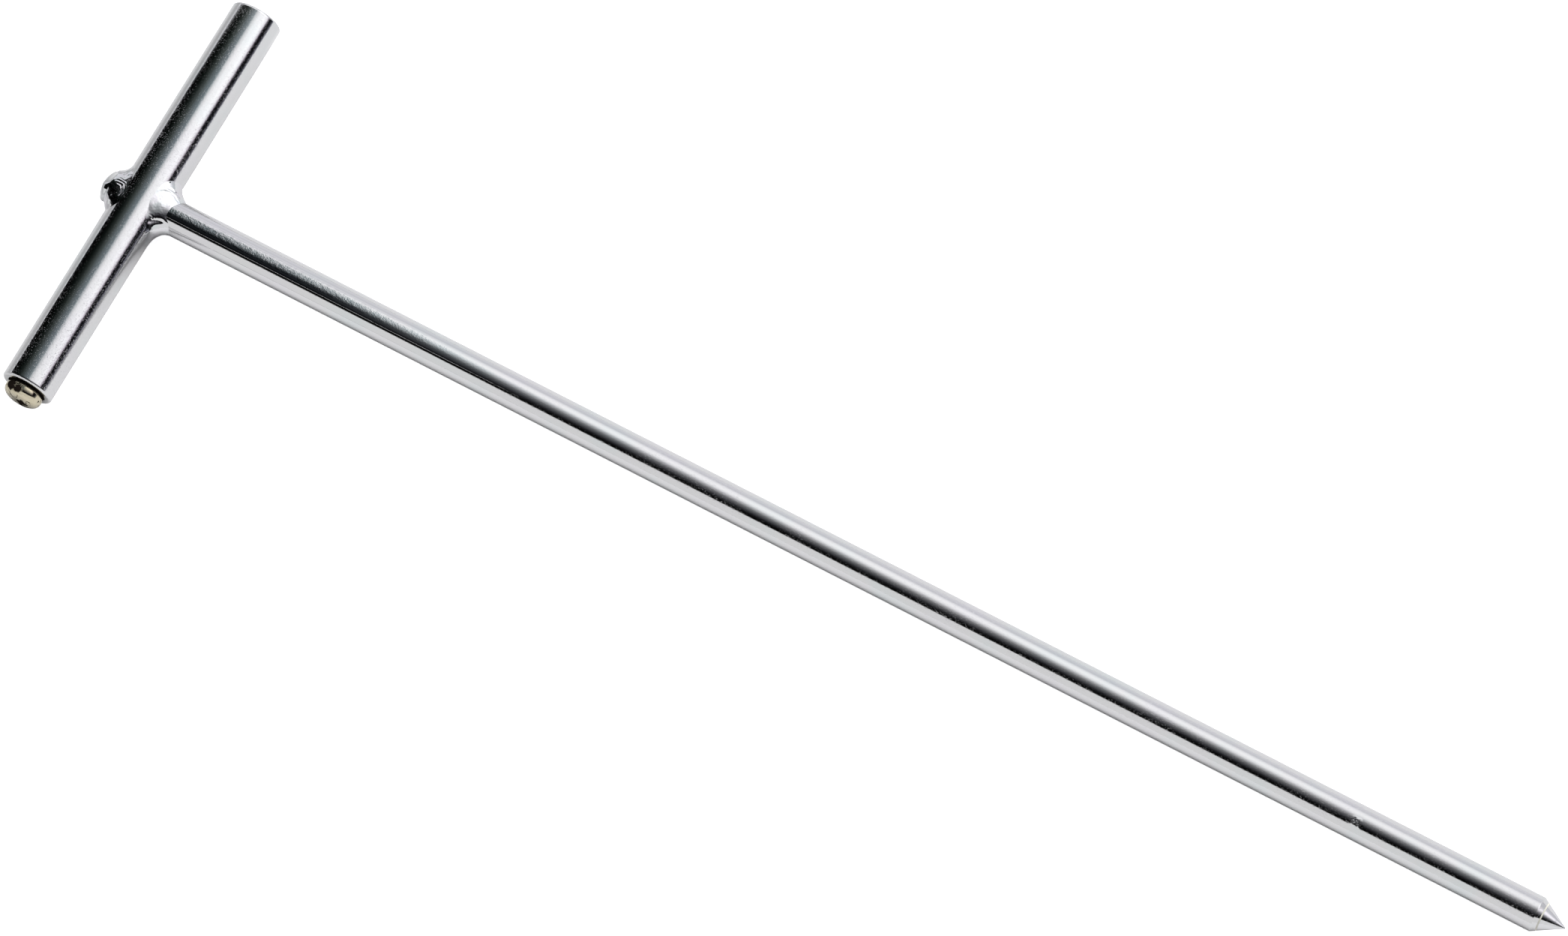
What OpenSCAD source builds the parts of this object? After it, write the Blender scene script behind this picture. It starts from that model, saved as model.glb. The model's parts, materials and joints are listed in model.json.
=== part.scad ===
// Grain moisture spear: a steel lance with a cross handle. The shaft tube and the insulated point
// are the two electrodes. One lead runs from the point, inside the shaft and the handle, to a
// threaded jack in the near end of the handle, and a domed brass cap closes that end.
// It is drawn as it lies on a flat surface, resting on the handle and on the shoulder of the point.

/* [Handle] */
// Outside diameter of the handle tube
handle_d = 24; // [23:0.5:26]
// Length of the handle tube, end to end
handle_len = 200; // [180:5:260]
// Wall of the handle tube
handle_wall = 3; // [2.5:0.25:3]
// Bevel on the outer edge of each handle end
rim_bevel = 0.7; // [0.3:0.1:1]

/* [Shaft] */
// Outside diameter of the shaft tube
shaft_d = 16; // [15.5:0.25:17]
// Wall of the shaft tube
shaft_wall = 2.5; // [2:0.25:2.5]
// Distance from the handle's axis to the point
reach = 700.5; // [400:0.5:1200]
// How far the rounded tail stands out behind the handle
tail_rise = 7; // [6.5:0.25:9]
// Rounding of the tail's edge
tail_round = 3.5; // [2.5:0.25:4]
// Distance from the point back to the punch mark that locks the inner bush
punch_back = 99; // [60:1:150]

/* [Welds] */
// Mean leg of the weld on the shaft side of the handle
front_leg = 5.75; // [4:0.25:6]
// Mean leg of the weld around the tail
back_leg = 3.25; // [2:0.25:3.5]
// How much the front weld's leg grows towards the capped end, and shrinks away from it
leg_swing = 1.25; // [0:0.25:1.25]

/* [Point] */
// Length of the cone, from its shoulder to the point
cone_len = 13.3; // [12:0.1:16]
// Length of the cone that is turned on the end of the shaft tube
nose_len = 2.3; // [2:0.1:2.6]
// Thickness of the insulating ring between the nose and the point
ring_t = 0.7; // [0.5:0.1:1]
// Flat left on the very point
tip_flat_d = 0.5; // [0.3:0.1:1]

/* [End cap] */
// Outside diameter of the cap
cap_d = 17.7; // [17.6:0.05:17.8]
// How far the cap's dome stands out of the handle
dome_rise = 6.6; // [5:0.1:8]
// Straight side of the cap outside the handle
dome_side = 2; // [1:0.1:3]
// Depth of the cap inside the handle
cap_seat = 9; // [8.5:0.1:9.5]

/* [Jack] */
// Outside diameter of the jack's threaded barrel
barrel_d = 9.6; // [9:0.1:10]
// Depth of the jack's barrel below the handle's end
barrel_front = 14; // [13.8:0.1:14.5]
// Depth of the plate that holds the jack
plate_front = 26; // [25:0.5:30]
// Thickness of that plate
plate_t = 5; // [4:0.5:6]

/* [Lead] */
// Outside diameter of the lead
lead_d = 2.4; // [2:0.1:2.6]
// Diameter of the lead's conductor
conductor_d = 1; // [0.8:0.1:1.2]
// Radius of the lead's bend from the shaft into the handle
lead_bend = 5; // [5:0.1:5.4]

/* [Hidden] */
$fn = 96;

handle_r = handle_d / 2;
handle_bore_r = handle_r - handle_wall;
shaft_r = shaft_d / 2;
shaft_bore_r = shaft_r - shaft_wall;

// The length of shaft that passes through the handle and its welds is turned slightly under size
spigot_r = shaft_r - 0.2;
spigot_end = handle_r + 8;
tube_back = -handle_r - tail_rise + tail_round;
shoulder_x = reach - cone_len;
nose_end = shoulder_x + nose_len;
cone_slope = shaft_r / cone_len;
nose_r = shaft_r - nose_len * cone_slope;
point_base_r = nose_r - ring_t * cone_slope;
tail_spigot = 7;
far_plug_recess = 0.8;
far_plug_t = 4;

stud_r = 2.5;
insulator_barrel = 16;
washer_t = 1;
nut_t = 4;
nut_flats = 8;
stud_end = nose_end - insulator_barrel - washer_t - nut_t - 7;
terminal_r = 4;
terminal_len = 16;
terminal_back = stud_end - terminal_len + 6;
cup_depth = 5;

bush_len = 12;
punch_r = 1.2;
punch_depth = 0.6;
punch_turn = 98;

grommet_r = 3.5;
lead_y_end = -handle_len / 2 + 46;

cap_r = cap_d / 2;
seal_r = 0.8;
seal_gap = 0.05;
seal_depth = 5;
seal_squeeze = 0.1;
seal_centre_r = handle_bore_r - seal_gap - seal_r;

carrier_rim_r = handle_bore_r - 1.5;
barrel_r = barrel_d / 2;
flange_t = 1.5;
thread_len = 12;
jack_core_r = 3;

// Angle at which the shaft slopes down from the handle to the shoulder of its point
lie_angle = asin(handle_r / norm([shoulder_x, shaft_r])) - atan(shaft_r / shoulder_x);
mid_x = (reach - handle_r - tail_rise) / 2;
mid_y = -dome_rise / 2;

steel = "lightsteelblue";
plated = "silver";
brass = "tan";

// Places a piece, drawn about the crossing of the shaft and handle axes, as the spear lies
module laid() {
    translate([-mid_x, -mid_y, handle_r])
        rotate([0, lie_angle, 0])
            children();
}

// Turns a piece drawn along Z to run along the shaft, starting at x
module along_shaft(x) {
    translate([x, 0, 0])
        rotate([0, 90, 0])
            children();
}

// Turns a piece drawn along Z to run into the handle, starting at a depth from its near end
module into_handle(depth) {
    translate([0, -handle_len / 2 + depth, 0])
        rotate([-90, 0, 0])
            children();
}

module ring(outer_r, inner_r, length) {
    difference() {
        cylinder(r = outer_r, h = length);
        translate([0, 0, -1])
            cylinder(r = inner_r, h = length + 2);
    }
}

module nut(flats, hole_r, height) {
    difference() {
        cylinder(d = flats / cos(30), h = height, $fn = 6);
        translate([0, 0, -1])
            cylinder(r = hole_r, h = height + 2);
    }
}

module handle_tube() {
    bore_bevel = 0.3;
    color(plated)
        laid()
            difference() {
                into_handle(0)
                    rotate_extrude()
                        polygon([
                            [handle_bore_r, bore_bevel],
                            [handle_bore_r + bore_bevel, 0],
                            [handle_r - rim_bevel, 0],
                            [handle_r, rim_bevel],
                            [handle_r, handle_len - rim_bevel],
                            [handle_r - rim_bevel, handle_len],
                            [handle_bore_r + bore_bevel, handle_len],
                            [handle_bore_r, handle_len - bore_bevel]
                        ]);
                along_shaft(-handle_d)
                    cylinder(r = spigot_r, h = 2 * handle_d);
            }
}

module shaft_tube() {
    color(plated)
        laid()
            difference() {
                along_shaft(0)
                    rotate_extrude()
                        polygon([
                            [shaft_bore_r, tube_back],
                            [spigot_r, tube_back],
                            [spigot_r, spigot_end],
                            [shaft_r, spigot_end],
                            [shaft_r, shoulder_x],
                            [nose_r, nose_end],
                            [shaft_bore_r, nose_end]
                        ]);
                // way for the lead into the handle
                rotate([90, 0, 0])
                    cylinder(r = grommet_r, h = shaft_d);
                // punch mark
                translate([reach - punch_back, 0, 0])
                    rotate([punch_turn, 0, 0])
                        rotate([-90, 0, 0])
                            translate([0, 0, shaft_r - punch_depth])
                                cylinder(r1 = 0.1, r2 = 2 * punch_r, h = 2 * punch_depth, $fn = 32);
            }
}

// Solid end of the shaft behind the handle, with a rounded edge
module tail_plug() {
    round_steps = 8;
    flat_r = spigot_r - tail_round;
    edge = [
        for (i = [0 : round_steps])
            let (turn = 90 * i / round_steps)
                [flat_r + tail_round * cos(turn), -tail_round * sin(turn)]
    ];
    color(plated)
        laid()
            along_shaft(tube_back)
                rotate_extrude()
                    polygon(concat(
                        edge,
                        [[0, -tail_round], [0, tail_spigot], [shaft_bore_r, tail_spigot], [shaft_bore_r, 0]]
                    ));
}

// Fillet weld in the corner between the shaft and the handle. A ball that touches both tubes rolls
// around the corner, and the face of the weld is the hollow it leaves.
module fillet_weld(mean_leg, swing) {
    turns = 40;
    arc_steps = 5;
    toe = 0.25;
    dig = 0.8;
    function leg(turn) = mean_leg - swing * cos(turn);
    function around(r, x, turn) = [x, r * cos(turn), r * sin(turn)];
    function centre(turn) =
        let (r = shaft_r + leg(turn), rise = r * sin(turn))
            around(r, sqrt(pow(handle_r + leg(turn), 2) - rise * rise), turn);
    function on_handle(c, turn, r) =
        let (k = r / (handle_r + leg(turn)))
            [c.x * k, c.y, c.z * k];
    function corner(turn) =
        let (r = shaft_r - dig, rise = r * sin(turn))
            around(r, sqrt(pow(handle_r - dig, 2) - rise * rise), turn);
    function hollow(c, a, b, turn) = [
        for (i = [0 : arc_steps])
            let (way = (a - c) * (1 - i / arc_steps) + (b - c) * i / arc_steps)
                c + way * (leg(turn) - toe) / norm(way)
    ];
    function section(turn) =
        let (c = centre(turn))
            concat(
                [corner(turn), around(shaft_r - dig, c.x, turn)],
                hollow(c, around(shaft_r, c.x, turn), on_handle(c, turn, handle_r), turn),
                [on_handle(c, turn, handle_r - dig)]
            );
    n = arc_steps + 4;
    points = [for (i = [0 : turns - 1]) each section(360 * i / turns)];
    faces = [
        for (i = [0 : turns - 1], j = [0 : n - 1])
            let (next = (i + 1) % turns, k = (j + 1) % n)
                [i * n + j, next * n + j, next * n + k, i * n + k]
    ];
    difference() {
        polyhedron(points, faces, convexity = 4);
        into_handle(0)
            cylinder(r = handle_r, h = handle_len);
        along_shaft(0)
            cylinder(r = spigot_r, h = spigot_end + 5);
    }
}

module front_weld() {
    color(plated)
        laid()
            fillet_weld(front_leg, leg_swing);
}

module tail_weld() {
    color(plated)
        laid()
            mirror([1, 0, 0])
                fillet_weld(back_leg, 0);
}

module far_end_plug() {
    edge = 0.4;
    color(plated)
        laid()
            into_handle(handle_len - far_plug_recess - far_plug_t)
                rotate_extrude()
                    polygon([
                        [0, 0],
                        [handle_bore_r, 0],
                        [handle_bore_r, far_plug_t - edge],
                        [handle_bore_r - edge, far_plug_t],
                        [0, far_plug_t]
                    ]);
}

// Steel point with the stud that clamps it to the shaft
module point() {
    color(plated)
        laid()
            along_shaft(0)
                rotate_extrude()
                    polygon([
                        [0, stud_end],
                        [stud_r, stud_end],
                        [stud_r, nose_end + ring_t],
                        [point_base_r, nose_end + ring_t],
                        [tip_flat_d / 2, reach],
                        [0, reach]
                    ]);
}

// Insulating ring, flush with the cone, and the bush that keeps the stud clear of the shaft
module point_insulator() {
    color("khaki")
        laid()
            along_shaft(0)
                rotate_extrude()
                    polygon([
                        [stud_r, nose_end - insulator_barrel],
                        [shaft_bore_r, nose_end - insulator_barrel],
                        [shaft_bore_r, nose_end],
                        [nose_r, nose_end],
                        [point_base_r, nose_end + ring_t],
                        [stud_r, nose_end + ring_t]
                    ]);
}

module point_washer() {
    color(steel)
        laid()
            along_shaft(nose_end - insulator_barrel - washer_t)
                ring(5, stud_r, washer_t);
}

module point_nut() {
    color(steel)
        laid()
            along_shaft(nose_end - insulator_barrel - washer_t - nut_t)
                nut(nut_flats, stud_r, nut_t);
}

// Brass sleeve screwed on the stud, with a cup for the lead's conductor
module point_terminal() {
    color(brass)
        laid()
            difference() {
                along_shaft(terminal_back)
                    cylinder(r = terminal_r, h = terminal_len);
                along_shaft(stud_end)
                    cylinder(r = stud_r, h = terminal_len);
                along_shaft(terminal_back - 1)
                    cylinder(d = conductor_d, h = cup_depth + 1);
            }
}

// Bush that centres the lead in the shaft, held by the punch mark
module centring_bush() {
    color("ivory")
        laid()
            along_shaft(reach - punch_back - bush_len / 2)
                ring(shaft_bore_r, lead_d / 2, bush_len);
}

// Rod that follows the lead's route, from a depth in the handle, around the bend, to x in the shaft
module lead_route(r, handle_y, shaft_x) {
    along_shaft(lead_bend)
        cylinder(r = r, h = shaft_x - lead_bend);
    translate([lead_bend, -lead_bend, 0])
        rotate([0, 0, 90])
            rotate_extrude(angle = 90)
                translate([lead_bend, 0])
                    circle(r = r);
    translate([0, -lead_bend, 0])
        rotate([90, 0, 0])
            cylinder(r = r, h = -lead_bend - handle_y);
}

module lead_sheath() {
    color("dimgray")
        laid()
            difference() {
                lead_route(lead_d / 2, lead_y_end, terminal_back - 1);
                lead_route(conductor_d / 2, lead_y_end - 1, terminal_back);
            }
}

module lead_conductor() {
    color("peru")
        laid()
            lead_route(conductor_d / 2, lead_y_end - 3, terminal_back + cup_depth);
}

module lead_grommet() {
    inside = shaft_bore_r - 0.4;
    color("black")
        laid()
            translate([0, -inside, 0])
                rotate([90, 0, 0])
                    ring(grommet_r, lead_d / 2, shaft_r - inside + 0.6);
}

// Cup that holds the jack in the handle's near end, and stops the cap
module jack_carrier() {
    color("gainsboro")
        laid()
            into_handle(0)
                rotate_extrude()
                    polygon([
                        [carrier_rim_r, cap_seat],
                        [handle_bore_r, cap_seat],
                        [handle_bore_r, plate_front + plate_t],
                        [barrel_r, plate_front + plate_t],
                        [barrel_r, plate_front],
                        [carrier_rim_r, plate_front]
                    ]);
}

module jack_barrel() {
    wall = 1.2;
    flange_r = barrel_r + 1.8;
    thread_r = barrel_r - 0.05;
    step = plate_front - 6;
    color(brass)
        laid()
            into_handle(0)
                rotate_extrude()
                    polygon([
                        [barrel_r - wall, barrel_front],
                        [barrel_r, barrel_front],
                        [barrel_r, plate_front - flange_t],
                        [flange_r, plate_front - flange_t],
                        [flange_r, plate_front],
                        [thread_r, plate_front],
                        [thread_r, plate_front + thread_len],
                        [jack_core_r, plate_front + thread_len],
                        [jack_core_r, step],
                        [barrel_r - wall, step]
                    ]);
}

module jack_insulator() {
    color("whitesmoke")
        laid()
            into_handle(plate_front - 6)
                ring(jack_core_r, 0.7, 6 + thread_len + 2);
}

// Centre pin of the jack, with a cup at its back for the lead's conductor
module jack_contact() {
    pin_r = 0.7;
    cup_r = 1.1;
    cup_start = plate_front + thread_len + 2;
    cup_len = 5;
    color(brass)
        laid()
            into_handle(0)
                difference() {
                    union() {
                        translate([0, 0, barrel_front + 1])
                            cylinder(r = pin_r, h = cup_start - barrel_front);
                        translate([0, 0, cup_start])
                            cylinder(r = cup_r, h = cup_len);
                    }
                    translate([0, 0, cup_start + cup_len - 2])
                        cylinder(d = conductor_d, h = 3);
                }
}

module jack_washer() {
    color(steel)
        laid()
            into_handle(plate_front + plate_t)
                ring(barrel_r + 2, barrel_r - 0.05, 0.6);
}

module jack_nut() {
    color(steel)
        laid()
            into_handle(plate_front + plate_t + 0.6)
                nut(13, barrel_r - 0.05, 2.6);
}

// Domed plug that pulls out of the handle's near end, with a groove for its seal
module end_cap() {
    steps = 12;
    squareness = 0.72;
    groove_w = 2 * seal_r + 0.5;
    groove_r = seal_centre_r - seal_r + seal_squeeze;
    crown = dome_rise - dome_side;
    dome = [
        for (i = [0 : steps])
            let (turn = 90 * i / steps)
                [
                    cap_r * pow(cos(turn), squareness),
                    -dome_side - crown * pow(sin(turn), squareness)
                ]
    ];
    color(brass)
        laid()
            into_handle(0)
                rotate_extrude()
                    polygon(concat(
                        [
                            [0, cap_seat],
                            [cap_r - 0.4, cap_seat],
                            [cap_r, cap_seat - 0.4],
                            [cap_r, seal_depth + groove_w / 2],
                            [groove_r, seal_depth + groove_w / 2],
                            [groove_r, seal_depth - groove_w / 2],
                            [cap_r, seal_depth - groove_w / 2]
                        ],
                        dome
                    ));
}

module cap_seal() {
    color("black")
        laid()
            into_handle(seal_depth)
                rotate_extrude()
                    translate([seal_centre_r, 0])
                        circle(r = seal_r, $fn = 32);
}

handle_tube();
shaft_tube();
tail_plug();
front_weld();
tail_weld();
far_end_plug();
point();
point_insulator();
point_washer();
point_nut();
point_terminal();
centring_bush();
lead_sheath();
lead_conductor();
lead_grommet();
jack_carrier();
jack_barrel();
jack_insulator();
jack_contact();
jack_washer();
jack_nut();
end_cap();
cap_seal();
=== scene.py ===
"""Grain moisture probe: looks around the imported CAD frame.

Pieces are drawn in the spear's own frame: x runs along the shaft, y along the handle, z is up, and
the origin is where the two axes cross. SPEAR turns that frame into the row frame, where the spear
lies on the floor with its point a little lower than its handle.
"""

import json
import math

import bmesh
import bpy
from mathutils import Matrix, Vector, noise


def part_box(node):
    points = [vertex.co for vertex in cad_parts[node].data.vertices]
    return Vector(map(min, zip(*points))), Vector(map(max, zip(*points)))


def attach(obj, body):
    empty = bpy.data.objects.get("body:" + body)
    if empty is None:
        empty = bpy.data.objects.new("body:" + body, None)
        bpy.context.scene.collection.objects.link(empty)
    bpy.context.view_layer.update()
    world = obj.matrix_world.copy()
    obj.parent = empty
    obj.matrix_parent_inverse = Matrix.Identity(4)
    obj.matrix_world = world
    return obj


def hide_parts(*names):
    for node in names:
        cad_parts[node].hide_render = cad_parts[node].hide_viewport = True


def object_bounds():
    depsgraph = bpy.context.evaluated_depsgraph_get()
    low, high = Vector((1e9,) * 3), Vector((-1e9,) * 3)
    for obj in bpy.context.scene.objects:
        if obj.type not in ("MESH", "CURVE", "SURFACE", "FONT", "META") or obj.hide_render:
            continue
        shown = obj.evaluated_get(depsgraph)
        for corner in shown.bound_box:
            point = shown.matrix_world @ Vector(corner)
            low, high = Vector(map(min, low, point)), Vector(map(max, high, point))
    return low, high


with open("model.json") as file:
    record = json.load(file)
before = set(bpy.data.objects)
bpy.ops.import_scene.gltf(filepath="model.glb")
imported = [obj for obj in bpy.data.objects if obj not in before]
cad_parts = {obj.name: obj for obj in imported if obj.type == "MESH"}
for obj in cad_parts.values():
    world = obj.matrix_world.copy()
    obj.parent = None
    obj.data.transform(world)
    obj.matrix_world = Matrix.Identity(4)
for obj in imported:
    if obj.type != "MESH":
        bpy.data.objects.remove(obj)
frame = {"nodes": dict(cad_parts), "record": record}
cad_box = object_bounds()

# ---------------------------------------------------------------- sizes from the frame
MM = 0.001
TINY = 1e-9
TURN = 2 * math.pi
SHARP_ANGLE = 35
MOUNTS = {mount["name"]: mount for mount in frame["record"]["mounts"]}

HANDLE_LOW, HANDLE_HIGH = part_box("handle_tube")
CROSSING = (HANDLE_LOW + HANDLE_HIGH) / 2
SHAFT_AXIS = Vector(MOUNTS["shaft"]["axis"])
LIE_ANGLE = math.asin(-SHAFT_AXIS.z)
SPEAR = Matrix.Translation(CROSSING) @ Matrix.Rotation(LIE_ANGLE, 4, "Y")
FLOOR_Z = cad_box[0].z


def across(node):
    """Diameter of a turned node, in metres."""
    low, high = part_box(node)
    return high.x - low.x


def shaft_reach(node, end):
    """Where a node starts (end 0) or stops (end 1) along the shaft, from the handle's axis."""
    return (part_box(node)[end].x - CROSSING.x) / math.cos(LIE_ANGLE)


def handle_reach(node, end):
    """Where a node starts (end 0) or stops (end 1) along the handle, from the shaft's axis."""
    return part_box(node)[end].y - CROSSING.y


HANDLE_R = across("handle_tube") / 2
HANDLE_HALF = handle_reach("handle_tube", 1)
HANDLE_BORE_R = across("far_end_plug") / 2
SHAFT_R = MOUNTS["shaft"]["dims"]["r_mm"] * MM
SHAFT_WALL = 2.5 * MM
SHAFT_BORE_R = SHAFT_R - SHAFT_WALL
SPIGOT_R = SHAFT_R - 0.2 * MM
SPIGOT_END = 9 * MM
POINT_X = shaft_reach("point", 1)
TAIL_X = shaft_reach("tail_plug", 0)
TAIL_BODY_END = TAIL_X + 6.5 * MM
TAIL_PLUG_END = TAIL_X + 10.5 * MM
CONE_LEN = 13.3 * MM
NOSE_LEN = 2.3 * MM
RING_T = 0.7 * MM
SHOULDER_X = POINT_X - CONE_LEN
NOSE_END = SHOULDER_X + NOSE_LEN
PUNCH_X = POINT_X - 99 * MM
CAP_R = across("end_cap") / 2
CAP_FRONT = handle_reach("end_cap", 0)
CAP_BACK = handle_reach("end_cap", 1)
CAP_NECK = HANDLE_HALF + 0.8 * MM


# ---------------------------------------------------------------- camera
def make_camera():
    """Long lens high above the capped side of the spear, turned a little about its own axis."""
    aim_along, aim_aside, aim_up = 0.30796, 0.02478, 0.010
    aim = Vector((CROSSING.x + aim_along, CROSSING.y + aim_aside, FLOOR_Z + aim_up))
    azimuth = math.radians(35.0983)
    elevation = math.radians(69.0379)
    roll = math.radians(-6.3876)
    distance = 4.05046
    back = Vector((
        math.sin(azimuth) * math.cos(elevation),
        -math.cos(azimuth) * math.cos(elevation),
        math.sin(elevation),
    ))
    data = bpy.data.cameras.new("camera")
    data.lens = 215.122
    data.sensor_width = 36
    data.clip_end = 100
    camera = bpy.data.objects.new("camera", data)
    bpy.context.scene.collection.objects.link(camera)
    level = (-back).to_track_quat("-Z", "Y").to_matrix().to_4x4()
    turn = Matrix.Rotation(roll, 4, "Z")
    camera.matrix_world = Matrix.Translation(aim + back * distance) @ level @ turn
    bpy.context.scene.camera = camera


make_camera()


# ---------------------------------------------------------------- node trees
class Tree:
    """Short calls for building a node tree."""

    def __init__(self, tree):
        self.tree = tree
        self.tree.nodes.clear()

    def add(self, kind, inputs=None, **settings):
        """A new node with its settings, its inputs linked or set by name or number."""
        node = self.tree.nodes.new(kind)
        for name, value in settings.items():
            setattr(node, name, value)
        for name, value in (inputs or {}).items():
            socket = node.inputs[name]
            if isinstance(value, bpy.types.NodeSocket):
                self.tree.links.new(value, socket)
            else:
                socket.default_value = value
        return node

    def math(self, operation, a, b=0.0, c=0.0):
        return self.add("ShaderNodeMath", {0: a, 1: b, 2: c}, operation=operation).outputs[0]

    def remap(self, value, low, high, to_low=0.0, to_high=1.0):
        """Smoothly carries low..high to to_low..to_high, and holds the ends."""
        inputs = {"Value": value, 1: low, 2: high, 3: to_low, 4: to_high}
        node = self.add("ShaderNodeMapRange", inputs, interpolation_type="SMOOTHSTEP")
        return node.outputs["Result"]

    def ramp(self, value, stops):
        """Colours by position: each stop is (position, colour), a colour one level or three."""
        node = self.add("ShaderNodeValToRGB", {"Fac": value})
        node.color_ramp.interpolation = "LINEAR"
        elements = node.color_ramp.elements
        while len(elements) < len(stops):
            elements.new(0.5)
        for element, (position, colour) in zip(elements, stops):
            element.position = position
            element.color = rgba(colour)
        return node.outputs["Color"]

    def noise(self, vector, scale, detail=2.0, roughness=0.5, distortion=0.0):
        inputs = {
            "Vector": vector,
            "Scale": scale,
            "Detail": detail,
            "Roughness": roughness,
            "Distortion": distortion,
        }
        return self.add("ShaderNodeTexNoise", inputs).outputs["Fac"]

    def mix(self, factor, a, b, blend="MIX"):
        node = self.add("ShaderNodeMix", data_type="RGBA", blend_type=blend)
        for socket, value in zip((node.inputs[0], node.inputs[6], node.inputs[7]), (factor, a, b)):
            if isinstance(value, bpy.types.NodeSocket):
                self.tree.links.new(value, socket)
            elif socket.type == "RGBA":
                socket.default_value = rgba(value)
            else:
                socket.default_value = value
        return node.outputs[2]

    def vector(self, x, y, z):
        return self.add("ShaderNodeCombineXYZ", {0: x, 1: y, 2: z}).outputs[0]

    def split(self, vector):
        return self.add("ShaderNodeSeparateXYZ", {0: vector}).outputs


def rgba(colour):
    if isinstance(colour, (int, float)):
        return (colour, colour, colour, 1.0)
    return (*colour, 1.0)


# ---------------------------------------------------------------- studio
def make_world():
    """Reflections: a white wall on the capped side, a dark ceiling behind it, and a big soft box
    over the far side. The camera itself sees a plain pale background."""
    world = bpy.data.worlds.new("studio")
    bpy.context.scene.world = world
    world.use_nodes = True
    world.cycles.sampling_method = "NONE"
    t = Tree(world.node_tree)
    direction = t.add("ShaderNodeTexCoord").outputs["Generated"]
    x, y, z = t.split(direction)

    def swing(sideways):
        """Angle from straight up, in degrees from -90 to 90, carried to 0..1."""
        up = t.math("MAXIMUM", z, 0.0)
        angle = t.math("ARCTAN2", sideways, up)
        return t.math("MULTIPLY_ADD", angle, 1 / math.pi, 0.5)

    def stops(*pairs):
        return [((angle + 90) / 180, colour) for angle, colour in pairs]

    along_y = t.ramp(swing(y), stops(
        (-90, (0.98, 0.98, 0.99)),
        (-50, (0.98, 0.98, 0.99)),
        (-46, 0.004),
        (-34, 0.004),
        (-23, (0.022, 0.022, 0.026)),
        (-11, (0.11, 0.11, 0.12)),
        (0, (0.25, 0.25, 0.26)),
        (12, (0.64, 0.64, 0.66)),
        (24, (1.20, 1.20, 1.23)),
        (36, (1.40, 1.40, 1.42)),
        (50, (1.28, 1.28, 1.32)),
        (64, (0.84, 0.84, 0.90)),
        (76, (0.94, 0.94, 1.00)),
        (90, (1.00, 1.00, 1.04)),
    ))
    along_x = t.ramp(swing(x), stops(
        (-90, 1.0),
        (-10, 1.0),
        (0, 0.95),
        (11, 1.20),
        (20, 1.50),
        (46, 1.36),
        (60, 0.95),
        (90, 0.72),
    ))
    along_x = t.mix(t.remap(y, -0.35, -0.10), (1.0, 1.0, 1.0), along_x)
    low_band = t.ramp(swing(x), stops(
        (46, 1.0),
        (57, (0.96, 0.93, 0.97)),
        (62, (0.44, 0.38, 0.44)),
        (65, (0.025, 0.022, 0.028)),
        (70, (0.005, 0.005, 0.006)),
        (79, (0.010, 0.010, 0.012)),
        (85, (0.16, 0.16, 0.19)),
        (90, (0.70, 0.70, 0.75)),
    ))
    heading = t.math("ARCTAN2", y, x)
    ahead = t.math(
        "MULTIPLY",
        t.remap(heading, math.radians(26), math.radians(46), 1.0, 0.0),
        t.remap(heading, math.radians(-14), math.radians(4)),
    )
    low_band = t.mix(ahead, (1.0, 1.0, 1.0), low_band)
    level = t.mix(1.0, along_y, along_x, blend="MULTIPLY")
    level = t.mix(1.0, level, low_band, blend="MULTIPLY")
    seen = t.add("ShaderNodeLightPath").outputs["Is Camera Ray"]
    reflected = t.add("ShaderNodeBackground", {"Color": level, "Strength": 1.0})
    plain = t.add("ShaderNodeBackground", {"Color": rgba(0.93), "Strength": 1.0})
    inputs = {0: seen, 1: reflected.outputs[0], 2: plain.outputs[0]}
    mixed = t.add("ShaderNodeMixShader", inputs)
    t.add("ShaderNodeOutputWorld", {"Surface": mixed.outputs[0]})


def stage_sheet(name, profile, half_width, material):
    """A sheet of the stage: its profile is a line of (x, z) points, and it runs along y."""
    points = [(x, side, z) for x, z in profile for side in (-half_width, half_width)]
    faces = [(2 * i, 2 * i + 1, 2 * i + 3, 2 * i + 2) for i in range(len(profile) - 1)]
    mesh = bpy.data.meshes.new(name)
    mesh.from_pydata(points, [], faces)
    mesh.materials.append(material)
    sheet = bpy.data.objects.new(name, mesh)
    bpy.context.scene.collection.objects.link(sheet)
    return sheet


def floor_paper():
    """White paper that is lit past white where the camera sees it, with painted shade behind the
    handle.
    """
    material = bpy.data.materials.new("floor_paper")
    material.use_nodes = True
    t = Tree(material.node_tree)
    place = t.add("ShaderNodeTexCoord").outputs["Object"]
    fibre = t.noise(place, 900.0, 3.0)
    colour = t.mix(fibre, (0.80, 0.80, 0.81), (0.84, 0.84, 0.84))
    # Painted shade: the paper is darker behind the handle. The camera's glow keeps it white, so it
    # shows only in reflections.
    behind = t.remap(t.split(place)[0], CROSSING.x - 0.10, CROSSING.x + 0.01, 0.56, 1.0)
    colour = t.mix(1.0, colour, behind, blend="MULTIPLY")
    paper = t.add("ShaderNodeBsdfDiffuse", {"Color": colour})
    seen = t.add("ShaderNodeLightPath").outputs["Is Camera Ray"]
    strength = t.math("MULTIPLY", seen, 0.8)
    glow = t.add("ShaderNodeEmission", {"Color": rgba(1.0), "Strength": strength})
    both = t.add("ShaderNodeAddShader", {0: paper.outputs[0], 1: glow.outputs[0]})
    t.add("ShaderNodeOutputMaterial", {"Surface": both.outputs[0]})
    return material


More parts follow.
